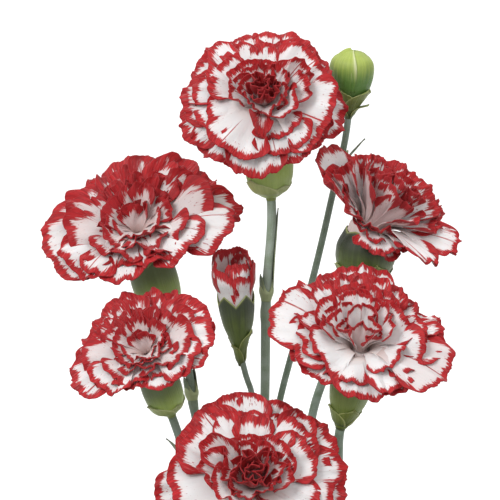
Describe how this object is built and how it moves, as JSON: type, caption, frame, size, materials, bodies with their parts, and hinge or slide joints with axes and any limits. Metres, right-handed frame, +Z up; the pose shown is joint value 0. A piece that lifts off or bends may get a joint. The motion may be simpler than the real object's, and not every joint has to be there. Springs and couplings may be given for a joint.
{
  "type": "bunch of carnations in a wooden box",
  "caption": "Red-edged white carnations, a half-open bud and a shut bud, upright in wet floral foam inside a plain wooden box.",
  "frame": {"origin": "centre of the underside of the box's base board", "axes": "+X to the right and +Y to the back as seen from the front, +Z up along the stems"},
  "size_m": [0.1634, 0.1575, 0.3511],
  "materials": {
    "pine": "planed, unvarnished",
    "liner": "thin, slightly see-through look",
    "foam": "wet, fine open cells",
    "stem": "waxy blue-green bloom",
    "leaf": "waxy blue-green bloom",
    "calyx": "smooth, slightly waxy, fine ribs",
    "bract": "smooth, slightly waxy",
    "petal": "soft and matte, white with red toothed edges"
  },
  "bodies": {
    "root": {"box_back_board": "pine", "box_base_board": "pine", "box_front_board": "pine", "box_left_board": "pine", "box_liner": "liner", "box_right_board": "pine", "bracts_1": "bract", "bracts_2": "bract", "bracts_3": "bract", "bracts_4": "bract", "bracts_5": "bract", "bracts_6": "bract", "bracts_7": "bract", "bracts_8": "bract", "calyx_1": "calyx", "calyx_2": "calyx", "calyx_3": "calyx", "calyx_4": "calyx", "calyx_5": "calyx", "calyx_6": "calyx", "calyx_7": "calyx", "calyx_8": "calyx", "foam_block": "foam", "furled_petals_7": "petal", "guard_petals_1": "petal", "guard_petals_2": "petal", "guard_petals_3": "petal", "guard_petals_4": "petal", "guard_petals_5": "petal", "guard_petals_6": "petal", "heart_petals_1": "petal", "heart_petals_2": "petal", "heart_petals_3": "petal", "heart_petals_4": "petal", "heart_petals_5": "petal", "heart_petals_6": "petal", "leaf_pair_1": "leaf", "leaf_pair_2": "leaf", "leaf_pair_3": "leaf", "leaf_pair_4": "leaf", "leaf_pair_5": "leaf", "leaf_pair_6": "leaf", "leaf_pair_7": "leaf", "leaf_pair_8": "leaf", "middle_petals_1": "petal", "middle_petals_2": "petal", "middle_petals_3": "petal", "middle_petals_4": "petal", "middle_petals_5": "petal", "middle_petals_6": "petal", "stem_1": "stem", "stem_2": "stem", "stem_3": "stem", "stem_4": "stem", "stem_5": "stem", "stem_6": "stem", "stem_7": "stem", "stem_8": "stem"}
  },
  "joints": []
}
